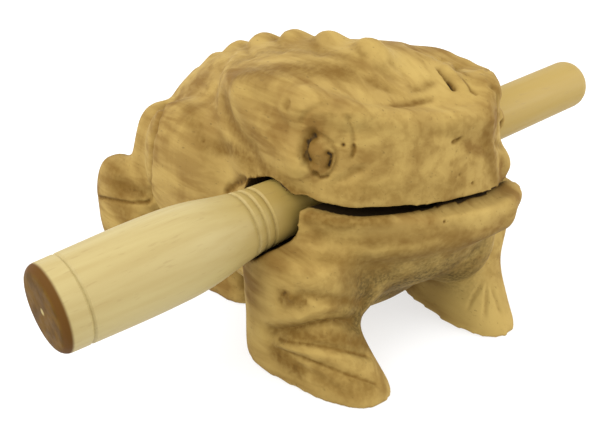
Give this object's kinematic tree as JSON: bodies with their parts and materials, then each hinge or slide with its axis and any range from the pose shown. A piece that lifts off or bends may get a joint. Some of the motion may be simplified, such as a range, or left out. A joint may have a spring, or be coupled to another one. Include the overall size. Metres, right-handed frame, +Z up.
{
  "type": "frog guiro",
  "caption": "Carved wooden frog rasp with a scalloped back, a mouth slit and a cross bore that holds its turned striker stick.",
  "frame": {"origin": "on the surface the frog stands on, under the centre of the whole object's box", "axes": "-Y the way the frog looks, +Z up, +X towards the frog's left and the stick's tip"},
  "size_m": [0.1628, 0.1196, 0.0725],
  "materials": {
    "carved_wood": "oiled, hand carved",
    "turned_wood": "bare, turned and sanded"
  },
  "bodies": {
    "frog": {"frog_body": "carved_wood"},
    "stick": {"striker_stick": "turned_wood"}
  },
  "joints": [
    {"name": "stick_slide", "type": "slide", "parent": "frog", "child": "stick", "axis": [-0.9941, 0, -0.1088], "range_m": [0, 0.12]}
  ]
}
